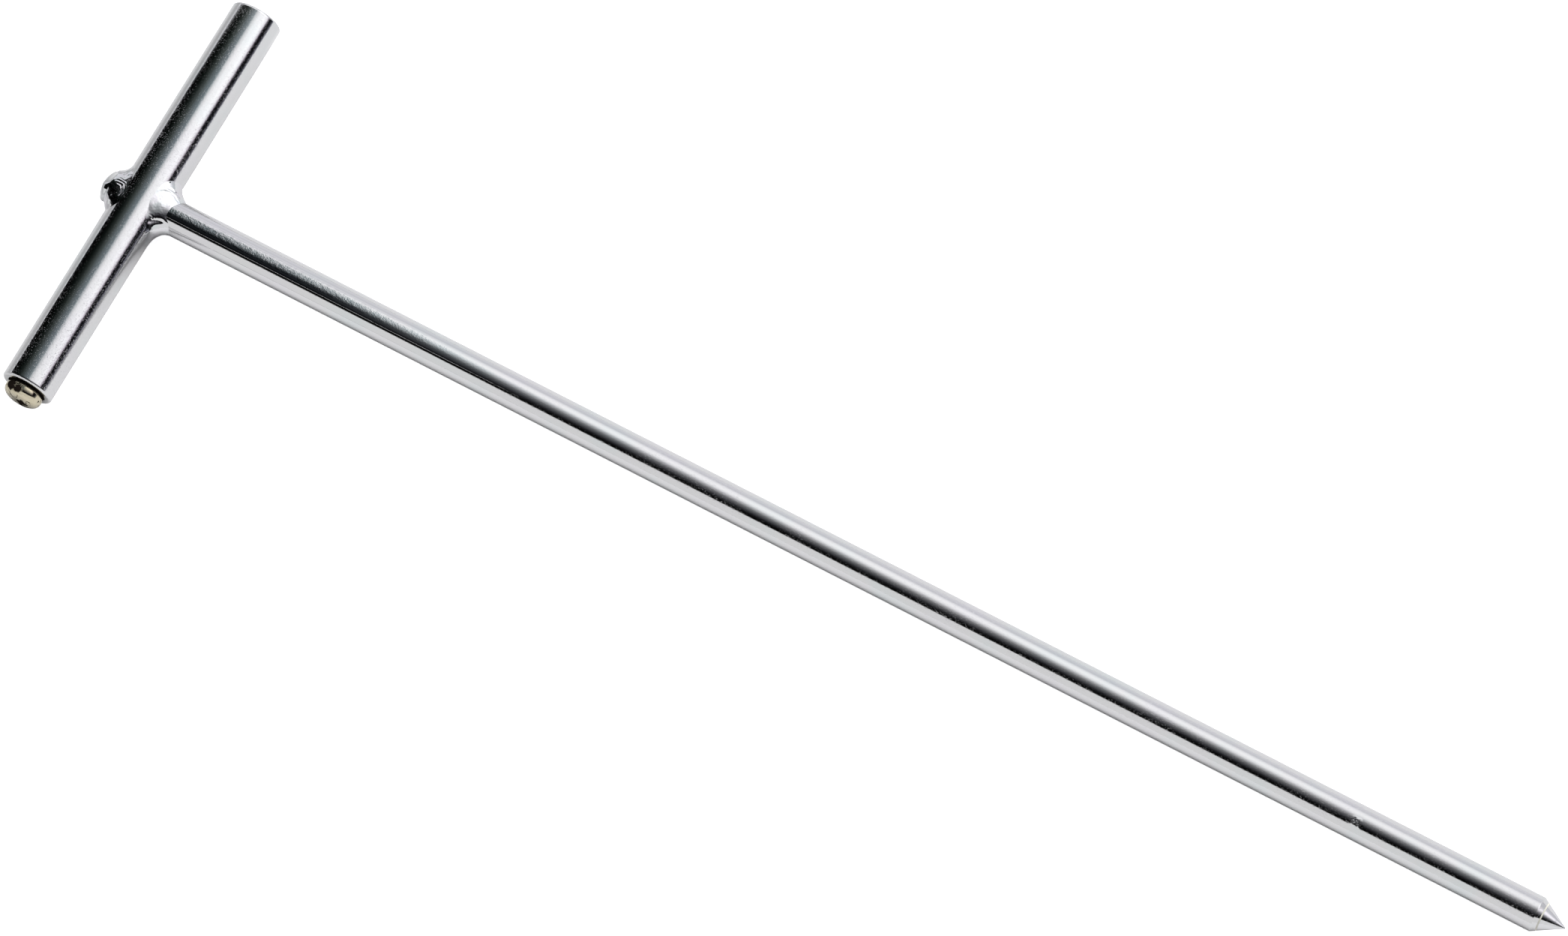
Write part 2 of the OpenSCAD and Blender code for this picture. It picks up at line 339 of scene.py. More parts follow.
def scrim_cloth():
    """Dark gauze over the handle, thinner towards the shaft and thinning out at its long edges."""
    material = bpy.data.materials.new("scrim_cloth")
    material.use_nodes = True
    t = Tree(material.node_tree)
    x, y, _ = t.split(t.add("ShaderNodeTexCoord").outputs["Object"])
    x = t.math("SUBTRACT", x, CROSSING.x)
    y = t.math("SUBTRACT", y, CROSSING.y)
    thick, thin = -0.65, 0.15
    share = t.math("DIVIDE", t.math("SUBTRACT", x, thick), thin - thick)
    passed = t.ramp(share, [
        (0.00, 0.002),
        (0.366, (0.004, 0.006, 0.005)),
        (0.53, (0.022, 0.028, 0.025)),
        (0.645, (0.085, 0.102, 0.096)),
        (0.7325, (0.19, 0.225, 0.235)),
        (0.8125, (0.31, 0.37, 0.39)),
        (0.856, (0.70, 0.75, 0.76)),
        (0.92, (0.90, 0.92, 0.93)),
        (1.0, 1.0),
    ])
    spread = t.math("MULTIPLY", t.math("MAXIMUM", t.math("MULTIPLY", x, -1.0), 0.0), 0.25)
    far = t.math("SUBTRACT", y, spread)
    held = t.math("MULTIPLY", t.remap(far, 0.15, 0.30, 1.0, 0.0), t.remap(y, -0.25, -0.12))
    colour = t.mix(held, (1.0, 1.0, 1.0), passed)
    gauze = t.add("ShaderNodeBsdfTransparent", {"Color": colour})
    t.add("ShaderNodeOutputMaterial", {"Surface": gauze.outputs[0]})
    return material


def make_studio():
    """The reflections, the floor, the gauze over the handle and a soft fill light."""
    make_world()
    floor_half = 30
    stage_sheet("floor", [(-floor_half, FLOOR_Z), (floor_half, FLOOR_Z)], floor_half, floor_paper())
    hung = CROSSING.z + 0.30
    scrim_reach, scrim_half, curl_out, curl_up = 3.5, 1.5, 0.15, 0.45
    curl = [
        (CROSSING.x - scrim_reach, hung),
        (CROSSING.x, hung),
        (CROSSING.x + curl_out, hung + curl_up),
    ]
    scrim = stage_sheet("scrim", curl, scrim_half, scrim_cloth())
    scrim.visible_camera = False
    scrim.visible_diffuse = False
    scrim.visible_shadow = False
    fill = bpy.data.lights.new("fill", "SUN")
    fill.energy = 2.75
    fill.angle = math.radians(60)
    lamp = bpy.data.objects.new("fill", fill)
    lamp.rotation_euler = (math.radians(-42), math.radians(12), 0)
    lamp.visible_glossy = False
    bpy.context.scene.collection.objects.link(lamp)
    view = bpy.context.scene.view_settings
    view.view_transform = "Standard"
    view.look = "None"


make_studio()


# ---------------------------------------------------------------- materials
def new_material(name):
    """A material with one Principled shader: the material, its node tree and the shader."""
    material = bpy.data.materials.new(name)
    material.use_nodes = True
    t = Tree(material.node_tree)
    shader = t.add("ShaderNodeBsdfPrincipled")
    t.add("ShaderNodeOutputMaterial", {"Surface": shader.outputs[0]})
    return material, t, shader


def bump(t, height, distance, normal=None):
    """A height field distance metres high, laid over an earlier normal if there is one."""
    inputs = {"Height": height, "Distance": distance, "Strength": 1.0}
    if normal is not None:
        inputs["Normal"] = normal
    return t.add("ShaderNodeBump", inputs).outputs["Normal"]


def unrolled(t, place, axis):
    """A tube's surface laid flat and squeezed lengthwise, which draws out a noise into lines.

    Also gives the distance along the tube, and the angle from its top.
    """
    x, y, z = t.split(place)
    if axis == "X":
        along, sideways = x, y
    else:
        along, sideways = y, x
    angle = t.math("ARCTAN2", sideways, z)
    around = t.math("MULTIPLY", angle, 10 * MM)
    return t.vector(t.math("MULTIPLY", along, 0.02), around, 0.0), along, angle


def hairlines(t, vector, scale, width):
    """Thin wandering scratches: 1 on a scratch, 0 between them."""
    field = t.noise(vector, scale, 1.5, 0.5, 1.6)
    off = t.math("ABSOLUTE", t.math("SUBTRACT", field, 0.5))
    return t.remap(off, 0.0, width, 1.0, 0.0)


PLATING_TONE = 0.62


def plating(name, axis, scuff, haze=0.02, pitting=None, rubbed=None):
    """Bright zinc plating on drawn tube: orange peel, drawing lines, pits, scratches, faint tints.

    scuff says how scratched it is, and haze how dull it is without a scratch. pitting is
    (start, end, strength there, strength here) along the tube, in mm. rubbed(t, along, angle) is
    where its gloss is worn to a frost.
    """
    material, t, shader = new_material(name)
    place = t.add("ShaderNodeTexCoord").outputs["Object"]
    lengthwise, along, angle = unrolled(t, place, axis)

    cloud = t.noise(place, 45.0, 3.0, 0.55)
    mottle = t.noise(place, 330.0, 4.0, 0.6, 0.8)
    lines = t.noise(lengthwise, 1500.0, 2.0, 0.6)
    grain = t.noise(place, 1700.0, 3.0, 0.65)
    pits = t.math("MULTIPLY", t.remap(grain, 0.58, 0.68), t.remap(cloud, 0.35, 0.65, 0.5, 1.0))
    if pitting:
        start, end, first, last = pitting
        pits = t.math("MULTIPLY", pits, t.remap(along, start * MM, end * MM, first, last))
    worn = t.remap(mottle, 0.52, 0.72)
    swirl = t.math("MULTIPLY", hairlines(t, place, 210.0, 0.03), t.remap(cloud, 0.44, 0.58))
    frost = t.math("MULTIPLY", t.math("ADD", t.math("MULTIPLY", worn, 0.5), swirl), scuff)

    base = t.ramp(cloud, [
        (0.30, (PLATING_TONE * 0.96, PLATING_TONE, PLATING_TONE)),
        (0.50, PLATING_TONE),
        (0.72, (PLATING_TONE, PLATING_TONE * 0.992, PLATING_TONE * 1.012)),
    ])
    shader.inputs["Metallic"].default_value = 1.0
    t.tree.links.new(base, shader.inputs["Base Color"])

    dull = t.math("MULTIPLY_ADD", frost, 0.14, haze)
    dull = t.math("MULTIPLY_ADD", t.remap(lines, 0.5, 0.8), 0.025, dull)
    dull = t.math("MULTIPLY_ADD", pits, 0.20 * scuff, dull)
    drawn = bump(t, lines, 1e-6)
    wavy = bump(t, mottle, 1.4e-5 * scuff, drawn)
    fine = bump(t, grain, 1.6e-5 * scuff, wavy)
    scored = bump(t, swirl, 5e-6 * scuff, fine)
    surface = bump(t, t.math("MULTIPLY", pits, -1.0), 1.7e-5 * scuff, scored)
    if rubbed:
        frosted = rubbed(t, along, angle)
        speckle = t.noise(place, 800.0, 2.5, 0.7)
        patch = t.math("MULTIPLY", frosted, t.remap(speckle, 0.40, 0.58))
        dull = t.math("MULTIPLY_ADD", patch, 0.28, dull)
        surface = bump(t, t.math("MULTIPLY", frosted, speckle), 2.6e-4, surface)
    t.tree.links.new(dull, shader.inputs["Roughness"])
    t.tree.links.new(surface, shader.inputs["Normal"])
    return material


def shaft_rub(t, along, angle):
    """Frosted along the top and fading out away from the handle, with one thin lengthwise scratch,
    and bruised around the punch marks."""
    near = t.remap(along, 60 * MM, 200 * MM, 1.0, 0.0)
    rise = t.remap(angle, math.radians(-17), math.radians(-5))
    fall = t.remap(angle, math.radians(9), math.radians(20), 1.0, 0.0)
    top = t.math("MULTIPLY", near, t.math("MULTIPLY", rise, fall))
    beside = t.math("ABSOLUTE", t.math("ADD", angle, math.radians(24.5)))
    scratch = t.remap(beside, math.radians(0.2), math.radians(0.8), 0.12, 0.0)
    reach = t.remap(along, 150 * MM, 230 * MM, 1.0, 0.0)
    rubbed = t.math("MAXIMUM", top, t.math("MULTIPLY", scratch, reach))
    off_along = t.math("ABSOLUTE", t.math("SUBTRACT", along, PUNCH_X))
    off_around = t.math("ABSOLUTE", t.math("ADD", angle, math.radians(18)))
    bruise = t.math(
        "MULTIPLY",
        t.remap(off_along, 1.4 * MM, 2.8 * MM, 0.8, 0.0),
        t.remap(off_around, math.radians(9), math.radians(19), 1.0, 0.0),
    )
    return t.math("MAXIMUM", rubbed, bruise)


def spot(t, place, centre, radius, wobble, spread=0.5):
    """1 inside a blotch around a point, both in mm, and 0 outside it.

    wobble is a noise around 0.5 that makes the edge ragged, by spread times the radius.
    """
    ends = {0: place, 1: Vector(centre) * MM}
    toward = t.add("ShaderNodeVectorMath", ends, operation="SUBTRACT").outputs[0]
    length = t.add("ShaderNodeVectorMath", {0: toward}, operation="LENGTH").outputs["Value"]
    off_centre = t.math("SUBTRACT", wobble, 0.5)
    ragged = t.math("MULTIPLY_ADD", off_centre, 4 * spread * radius * MM, length)
    return t.remap(ragged, 0.8 * radius * MM, 1.1 * radius * MM, 1.0, 0.0)


# Pits left along the toes of the front weld, the shade inside them painted near-black: centre and
# radius in mm.
TOE_PITS = [
    ((8.6, 11.0, 8.9), 0.50),
    ((9.3, 9.9, 9.6), 0.3),
    ((10.2, -9.4, 6.9), 0.30),
]


def weld_plating():
    """The same plating over weld metal, duller on the tail's side, with pits in the toes and
    scattered pores, the shade inside them painted near-black.
    """
    material, t, shader = new_material("weld_plating")
    place = t.add("ShaderNodeTexCoord").outputs["Object"]
    cloud = t.noise(place, 260.0, 4.0, 0.6, 0.6)
    grain = t.noise(place, 1400.0, 3.0, 0.6)
    pits = t.add("ShaderNodeTexVoronoi", {"Vector": place, "Scale": 520.0, "Randomness": 1.0})
    # Scattered pores: real pits, with the shade inside them painted near-black.
    pit = t.remap(pits.outputs["Distance"], 0.06, 0.16, 1.0, 0.0)
    rare = t.remap(cloud, 0.56, 0.66)
    pit_shade = t.math("MULTIPLY", pit, rare)
    base = t.ramp(cloud, [
        (0.30, (0.60, 0.64, 0.64)),
        (0.50, (0.65, 0.65, 0.66)),
        (0.70, (0.64, 0.62, 0.65)),
    ])
    ragged = t.noise(place, 900.0, 2.0, 0.6)
    for centre, radius in TOE_PITS:
        pit_shade = t.math("MAXIMUM", pit_shade, spot(t, place, centre, radius, ragged))
    # Painted shade: the pits are near-black and not metal.
    base = t.mix(pit_shade, base, (0.012, 0.012, 0.013))
    t.tree.links.new(t.math("SUBTRACT", 1.0, pit_shade), shader.inputs["Metallic"])
    shader.inputs["Specular IOR Level"].default_value = 0.0
    t.tree.links.new(base, shader.inputs["Base Color"])
    behind = t.remap(t.split(place)[0], -8 * MM, -4 * MM, 0.13, 0.04)
    dull = t.math("MULTIPLY_ADD", t.remap(cloud, 0.45, 0.7), 0.06, behind)
    t.tree.links.new(dull, shader.inputs["Roughness"])
    soft = bump(t, cloud, 4e-5)
    fine = bump(t, grain, 5e-6, soft)
    t.tree.links.new(fine, shader.inputs["Normal"])
    return material


def turned_metal(name, colour, dark, roughness, axis="Y"):
    """Lathe-turned metal: fine rings around the axis, and tarnish in clouds."""
    material, t, shader = new_material(name)
    place = t.add("ShaderNodeTexCoord").outputs["Object"]
    x, y, z = t.split(place)
    along, side = (x, y) if axis == "X" else (y, x)
    squared = t.math("ADD", t.math("POWER", side, 2.0), t.math("POWER", z, 2.0))
    radius = t.math("POWER", squared, 0.5)
    rings = t.noise(t.vector(along, radius, 0.0), 2200.0, 1.0)
    cloud = t.noise(place, 300.0, 4.0, 0.6, 0.5)
    stained = t.remap(cloud, 0.48, 0.70)
    base = t.mix(t.math("MULTIPLY", stained, 0.3), colour, dark)
    t.tree.links.new(base, shader.inputs["Base Color"])
    shader.inputs["Metallic"].default_value = 1.0
    dull = t.math("MULTIPLY_ADD", stained, 0.2, roughness)
    t.tree.links.new(dull, shader.inputs["Roughness"])
    t.tree.links.new(bump(t, rings, 3e-6), shader.inputs["Normal"])
    return material


# Blotches where the plating of the cap is worn through, in mm: x, how far behind the cap's front,
# z, and radius.
CAP_BLOTCHES = [
    (1.6, 0.2, 0.2, 2.8),
    (2.2, 0.6, -3.6, 2.4),
    (-0.7, 0.3, 4.0, 0.5),
    (-3.8, 0.6, 3.4, 0.6),
    (-5.0, 3.8, 7.0, 2.6),
    (-0.8, 3.0, 8.2, 2.2),
]


def cap_metal():
    """Pale plated brass of the cap: worn to near black in a few blotches, finely scratched, and with
    painted shade near black in the gap at its neck.
    """
    material, t, shader = new_material("cap_metal")
    place = t.add("ShaderNodeTexCoord").outputs["Object"]
    cloud = t.noise(place, 210.0, 3.0, 0.55, 0.4)
    patchy = t.noise(place, 330.0, 2.0, 0.5, 1.2)
    scratch = t.noise(t.vector(*scaled(t, place, (3000.0, 300.0, 500.0))), 1.0, 2.0, 0.6)
    worn = t.remap(patchy, 0.665, 0.69)
    for blotch_x, behind_front, blotch_z, radius in CAP_BLOTCHES:
        centre = (blotch_x, CAP_FRONT / MM + behind_front, blotch_z)
        worn = t.math("MAXIMUM", worn, spot(t, place, centre, radius, patchy, 0.4))
    x, y, z = t.split(place)
    across_edge = t.math("MULTIPLY_ADD", t.math("SUBTRACT", patchy, 0.5), 2.2 * MM, z)
    across_edge = t.math("MULTIPLY_ADD", x, 1.15, across_edge)
    beside = t.math("ABSOLUTE", t.math("ADD", across_edge, 0.6 * MM))
    streak = t.remap(beside, 0.25 * MM, 0.5 * MM, 1.0, 0.0)
    streak = t.math("MULTIPLY", streak, t.remap(x, -5.5 * MM, -4.5 * MM))
    streak = t.math("MULTIPLY", streak, t.remap(x, 0.5 * MM, 1.2 * MM, 1.0, 0.0))
    worn = t.math("MAXIMUM", worn, streak)
    base = t.ramp(cloud, [
        (0.30, (0.46, 0.41, 0.29)),
        (0.52, (0.56, 0.51, 0.38)),
        (0.75, (0.50, 0.46, 0.35)),
    ])
    # Painted shade: near black from the neck into the handle's mouth, weaker deeper inside. It stands
    # in for the dark gap between the dome and the handle's rim.
    painted_neck_shade = t.remap(y, -CAP_NECK - 0.15 * MM, -CAP_NECK + 0.25 * MM)
    inside = t.remap(y, 0.5 * MM - HANDLE_HALF, 1.5 * MM - HANDLE_HALF, 1.0, 0.15)
    painted_neck_shade = t.math("MULTIPLY", painted_neck_shade, inside)
    # From here worn holds both the worn blotches and the painted shade of the neck, which also makes
    # the neck non-metallic.
    worn = t.math("MAXIMUM", worn, painted_neck_shade)
    base = t.mix(worn, base, (0.012, 0.009, 0.007))
    t.tree.links.new(base, shader.inputs["Base Color"])
    t.tree.links.new(t.math("SUBTRACT", 1.0, worn), shader.inputs["Metallic"])
    shader.inputs["Specular IOR Level"].default_value = 0.0
    dull = t.math("MULTIPLY_ADD", t.remap(scratch, 0.5, 0.8), 0.10, 0.09)
    t.tree.links.new(dull, shader.inputs["Roughness"])
    fine = bump(t, scratch, 4e-6)
    t.tree.links.new(bump(t, cloud, 2e-5, fine), shader.inputs["Normal"])
    return material


def scaled(t, place, factors):
    """The three parts of a place, each times its factor."""
    return [t.math("MULTIPLY", part, factor) for part, factor in zip(t.split(place), factors)]


def moulded(name, colour, other, roughness):
    """Moulded plastic or rubber with a faint cloud of colour and a fine skin."""
    material, t, shader = new_material(name)
    place = t.add("ShaderNodeTexCoord").outputs["Object"]
    cloud = t.noise(place, 210.0, 3.0)
    skin = t.noise(place, 2100.0, 3.0)
    t.tree.links.new(t.mix(cloud, colour, other), shader.inputs["Base Color"])
    t.tree.links.new(t.math("MULTIPLY_ADD", skin, 0.12, roughness), shader.inputs["Roughness"])
    t.tree.links.new(bump(t, skin, 6e-6), shader.inputs["Normal"])
    return material


SHAFT_PITTING = (60, 300, 0.2, 3.0)
SHAFT_PLATING = plating("shaft_plating", "X", 0.35, pitting=SHAFT_PITTING, rubbed=shaft_rub)
HANDLE_PLATING = plating("handle_plating", "Y", 1.0, pitting=(-95, -35, 1.4, 1.0))
TAIL_PLATING = plating("tail_plating", "X", 0.5, haze=0.10)
WELD_PLATING = weld_plating()
POINT_STEEL = turned_metal("point_steel", (0.64, 0.64, 0.65), (0.50, 0.50, 0.53), 0.07, axis="X")
CAP_METAL = cap_metal()
FASTENER_STEEL = turned_metal("fastener_steel", (0.56, 0.56, 0.58), (0.36, 0.36, 0.37), 0.22)
CONTACT_BRASS = turned_metal("contact_brass", (0.78, 0.57, 0.28), (0.50, 0.33, 0.16), 0.20)
LEAD_COPPER = turned_metal("lead_copper", (0.90, 0.48, 0.32), (0.55, 0.26, 0.17), 0.25)
CARRIER_METAL = turned_metal("carrier_metal", (0.78, 0.79, 0.80), (0.60, 0.60, 0.61), 0.28)
JACK_NICKEL = turned_metal("jack_nickel", (0.72, 0.69, 0.63), (0.52, 0.49, 0.43), 0.14)
RESIN = moulded("insulator_resin", (0.60, 0.59, 0.52), (0.55, 0.54, 0.46), 0.28)
WHITE_NYLON = moulded("white_nylon", (0.80, 0.79, 0.75), (0.74, 0.73, 0.68), 0.38)
LEAD_PVC = moulded("lead_pvc", (0.10, 0.10, 0.105), (0.06, 0.06, 0.065), 0.42)
RUBBER = moulded("black_rubber", (0.022, 0.022, 0.023), (0.038, 0.037, 0.036), 0.55)


# ---------------------------------------------------------------- mesh tools
def add_piece(name, points, faces, material, body, nodes, sharp=SHARP_ANGLE):
    """Closed mesh in the spear's frame, smooth up to edges sharper than sharp degrees.

    With a body it rides on it and replaces its CAD nodes; a cutter has none.
    """
    work = bmesh.new()
    corners = [work.verts.new(point) for point in points]
    for face in faces:
        work.faces.new([corners[i] for i in face])
    bmesh.ops.recalc_face_normals(work, faces=work.faces)
    mesh = bpy.data.meshes.new(name)
    work.to_mesh(mesh)
    work.free()
    finish_mesh(mesh, sharp)
    mesh.materials.append(material)
    piece = bpy.data.objects.new(name, mesh)
    bpy.context.scene.collection.objects.link(piece)
    piece.matrix_world = SPEAR
    if body:
        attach(piece, body)
        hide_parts(*nodes)
    return piece


def finish_mesh(mesh, sharp):
    mesh.polygons.foreach_set("use_smooth", [True] * len(mesh.polygons))
    mesh.set_sharp_from_angle(angle=math.radians(sharp))


def soften(corners, steps=6):
    """A closed outline whose corners (along, radius, rounding) are turned into arcs.

    A point just clear of each end of an arc keeps the shading of the flat beside it true.
    """
    outline = []
    count = len(corners)
    for i, (along, radius, rounding) in enumerate(corners):
        here = Vector((along, radius))
        if rounding <= 0:
            outline.append(here)
            continue
        before = (Vector(corners[i - 1][:2]) - here).normalized()
        after = (Vector(corners[(i + 1) % count][:2]) - here).normalized()
        half = before.angle(after) / 2
        centre = here + (before + after).normalized() * rounding / math.sin(half)
        start = here + before * rounding / math.tan(half) - centre
        end = here + after * rounding / math.tan(half) - centre
        sweep = start.angle(end)
        outline.append(centre + start + before * rounding * 0.15)
        for step in range(steps + 1):
            share = step / steps
            weight_start = math.sin((1 - share) * sweep) / math.sin(sweep)
            weight_end = math.sin(share * sweep) / math.sin(sweep)
            outline.append(centre + start * weight_start + end * weight_end)
        outline.append(centre + end + after * rounding * 0.15)
    return outline


def turned(outline, axis, turns):
    """Points and faces of an outline of (along, radius) turned about the shaft or the handle.

    The outline is a list, or a function of the angle that gives one; angle 0 is at the top.
    """
    points, faces, rings = [], [], []
    angles = [TURN * k / turns for k in range(turns)]
    outlines = [outline(angle) if callable(outline) else outline for angle in angles]
    for i, (_, first_radius) in enumerate(outlines[0]):
        first = len(points)
        count = 1 if first_radius < TINY else turns
        for k in range(count):
            along, radius = outlines[k][i]
            side, up = radius * math.sin(angles[k]), radius * math.cos(angles[k])
            points.append((along, side, up) if axis == "X" else (side, along, up))
        rings.append(range(first, first + count))
    for i, ring in enumerate(rings):
        following = rings[(i + 1) % len(rings)]
        if len(ring) == 1 and len(following) == 1:
            continue
        for k in range(turns):
            j = (k + 1) % turns
            corners = [
                ring[k % len(ring)],
                ring[j % len(ring)],
                following[j % len(following)],
                following[k % len(following)],
            ]
            faces.append(list(dict.fromkeys(corners)))
    return points, faces


def smooth_step(value, low, high):
    share = min(max((value - low) / (high - low), 0.0), 1.0)
    return share * share * (3 - 2 * share)


def cut_away(piece, cutter):
    """Takes one closed mesh out of another for good, and removes the cutter."""
    modifier = piece.modifiers.new("cut", "BOOLEAN")
    modifier.object = cutter
    modifier.operation = "DIFFERENCE"
    modifier.solver = "EXACT"
    bpy.context.view_layer.update()
    graph = bpy.context.evaluated_depsgraph_get()
    mesh = bpy.data.meshes.new_from_object(piece.evaluated_get(graph))
    piece.modifiers.clear()
    material = piece.data.materials[0]
    piece.data = mesh
    mesh.materials.clear()
    mesh.materials.append(material)
    finish_mesh(mesh, SHARP_ANGLE)
    bpy.data.objects.remove(cutter)


# ---------------------------------------------------------------- tubes
def steps_between(low, high, step):
    count = max(1, round((high - low) / step))
    return [low + (high - low) * i / count for i in range(count + 1)]


def make_handle():
    """Handle tube with rounded ends, cross-drilled for the shaft."""
    rim = 1.2 * MM
    bore_edge = 0.35 * MM
    hole_side = 14 * MM
    outside = [(y, HANDLE_R, 0.0) for y in (-hole_side, hole_side)]
    inside = [(y, HANDLE_BORE_R, 0.0) for y in (hole_side, -hole_side)]
    corners = (
        [(-HANDLE_HALF, HANDLE_BORE_R, bore_edge), (-HANDLE_HALF, HANDLE_R, rim)]
        + outside
        + [(HANDLE_HALF, HANDLE_R, rim), (HANDLE_HALF, HANDLE_BORE_R, bore_edge)]
        + inside
    )
    points, faces = turned(soften(corners, 8), "Y", 256)
    piece = add_piece(
        "handle", points, faces, HANDLE_PLATING, "spear", ["handle_tube"]
    )
    far = 2 * HANDLE_R
    outline = [
        (-far, 0.0),
        (-far, SPIGOT_R),
        (SPIGOT_END, SPIGOT_R),
        (SPIGOT_END, SHAFT_R),
        (far, SHAFT_R),
        (far, 0.0),
    ]
    points, faces = turned(outline, "X", 160)
    cutter = add_piece("cutter", points, faces, HANDLE_PLATING, "", [])
    cut_away(piece, cutter)


# Punch marks near the point: along from PUNCH_X in mm, turn in degrees, radius and depth in mm.
PUNCH_MARKS = [
    (-0.9, 105, 1.70, 0.18),
    (1.3, 111, 1.40, 0.14),
    (3.0, 115, 1.00, 0.08),
]


def punch_dent(point):
    """Moves a point of the shaft in where a punch mark is, and out along its raised lip."""
    x, y, z = point
    radius = math.hypot(y, z)
    if radius < SHAFT_R - 0.1 * MM:
        return point
    moved = radius
    for mark_along, mark_turn, size, depth in PUNCH_MARKS:
        angle = math.atan2(z, y) - math.radians(mark_turn)
        along, around = (x - PUNCH_X) / MM - mark_along, angle * radius / MM
        wobble = 0.5 * noise.noise(Vector((along * 1.5 + mark_turn, around * 1.5, 4.0)))
        distance = math.hypot(along, around) / size + wobble
        pit = -depth * (1 - smooth_step(distance, 0.0, 0.9))
        lip = 0.03 * depth * math.exp(-((distance - 1.20) / 0.35) ** 2)
        moved += (pit + lip) * MM
    return (x, y * moved / radius, z * moved / radius)


def make_shaft():
    """Shaft tube from inside the tail to the nose of the cone, with its punch marks."""
    back = TAIL_BODY_END
    nose_r = SHAFT_R * (1 - NOSE_LEN / CONE_LEN)
    dented = steps_between(PUNCH_X - 4.5 * MM, PUNCH_X + 4.5 * MM, 0.15 * MM)
    plain = [60 * MM, 200 * MM, 350 * MM, 500 * MM]
    corners = [
        (back, SHAFT_BORE_R, 0.0),
        (back, SPIGOT_R, 0.0),
        (SPIGOT_END, SPIGOT_R, 0.0),
        (SPIGOT_END, SHAFT_R, 0.0),
        *[(x, SHAFT_R, 0.0) for x in plain + dented],
        (SHOULDER_X, SHAFT_R, 0.5 * MM),
        (NOSE_END, nose_r, 0.06 * MM),
        (NOSE_END, SHAFT_BORE_R, 0.0),
    ]
    points, faces = turned(soften(corners), "X", 256)
    points = [punch_dent(point) for point in points]
    piece = add_piece("shaft", points, faces, SHAFT_PLATING, "spear", ["shaft_tube"])
    port_r = 3.5 * MM
    port_start = -2 * SHAFT_R
    outline = [(port_start, 0.0), (port_start, port_r), (0.0, port_r), (0.0, 0.0)]
    points, faces = turned(outline, "Y", 64)
    cutter = add_piece("cutter", points, faces, SHAFT_PLATING, "", [])
    cut_away(piece, cutter)


def make_tail():
    """Closed end of the shaft behind the handle, ground by hand: its crown slopes back towards the
    capped side, where its edge is sharper."""
    seat = TAIL_X + 4.1 * MM
    sharpest, rounder_far, rounder_top = 1.1 * MM, 2.4 * MM, 1.9 * MM
    near_slope, far_slope, flank_slope = 0.22, 0.05, 0.42

    def outline(angle):
        toward_far = (1 + math.sin(angle)) / 2
        toward_top = max(math.cos(angle), 0.0)
        edge = sharpest + rounder_far * toward_far + rounder_top * toward_top
        flat_r = SPIGOT_R - edge
        points = [(TAIL_X, r * flat_r) for r in (0.0, 0.25, 0.5, 0.75)]
        for step in range(21):
            turn = math.radians(90) * step / 20
            points.append((TAIL_X + edge * (1 - math.cos(turn)), flat_r + edge * math.sin(turn)))
        return points + [
            (TAIL_BODY_END, SPIGOT_R),
            (TAIL_BODY_END, SHAFT_BORE_R),
            (TAIL_PLUG_END, SHAFT_BORE_R),
            (TAIL_PLUG_END, 0.0),
        ]

    points, faces = turned(outline, "X", 160)
    ground = []
    for x, y, z in points:
        outer = 1 - smooth_step(x, TAIL_X + 1.0 * MM, seat)
        slope = near_slope * max(-y - 1.5 * MM, 0.0) + far_slope * max(y - 2.2 * MM, 0.0)
        lump = 0.12 * MM * (1 + noise.noise(Vector((x, y, z)) * 260)) / 2
        flank = 1 - smooth_step(x, TAIL_X + 1.5 * MM, TAIL_X + 5.6 * MM)
        drop = flank_slope * flank * max(y + 4.4 * MM, 0.0) * max(z, 0.0) / SPIGOT_R
        if x < seat:
            x = min(x + outer * (slope + lump), seat)
        ground.append((x, y, z - drop))
    add_piece("tail", ground, faces, TAIL_PLATING, "spear", ["tail_plug"])


def make_far_plug():
    """Disc pressed and dressed into the far end of the handle."""
    low, high = handle_reach("far_end_plug", 0), handle_reach("far_end_plug", 1)
    corners = [
        (low, 0.0, 0.0),
        (low, HANDLE_BORE_R, 0.2 * MM),
        (high, HANDLE_BORE_R, 0.5 * MM),
        (high, HANDLE_BORE_R * 0.55, 0.0),
        (high - 0.12 * MM, 0.0, 0.0),
    ]
    points, faces = turned(soften(corners), "Y", 160)
    add_piece("far_plug", points, faces, HANDLE_PLATING, "spear", ["far_end_plug"])


# ---------------------------------------------------------------- welds
def keyed(degrees, keys):
    """Goes smoothly around the circle through keys of (degrees, value)."""
    degrees %= 360
    ring = keys + [(keys[0][0] + 360, keys[0][1])]
    for (low, start), (high, end) in zip(ring, ring[1:]):
        if low <= degrees <= high:
            return start + (end - start) * smooth_step(degrees, low, high)
    return keys[-1][1]


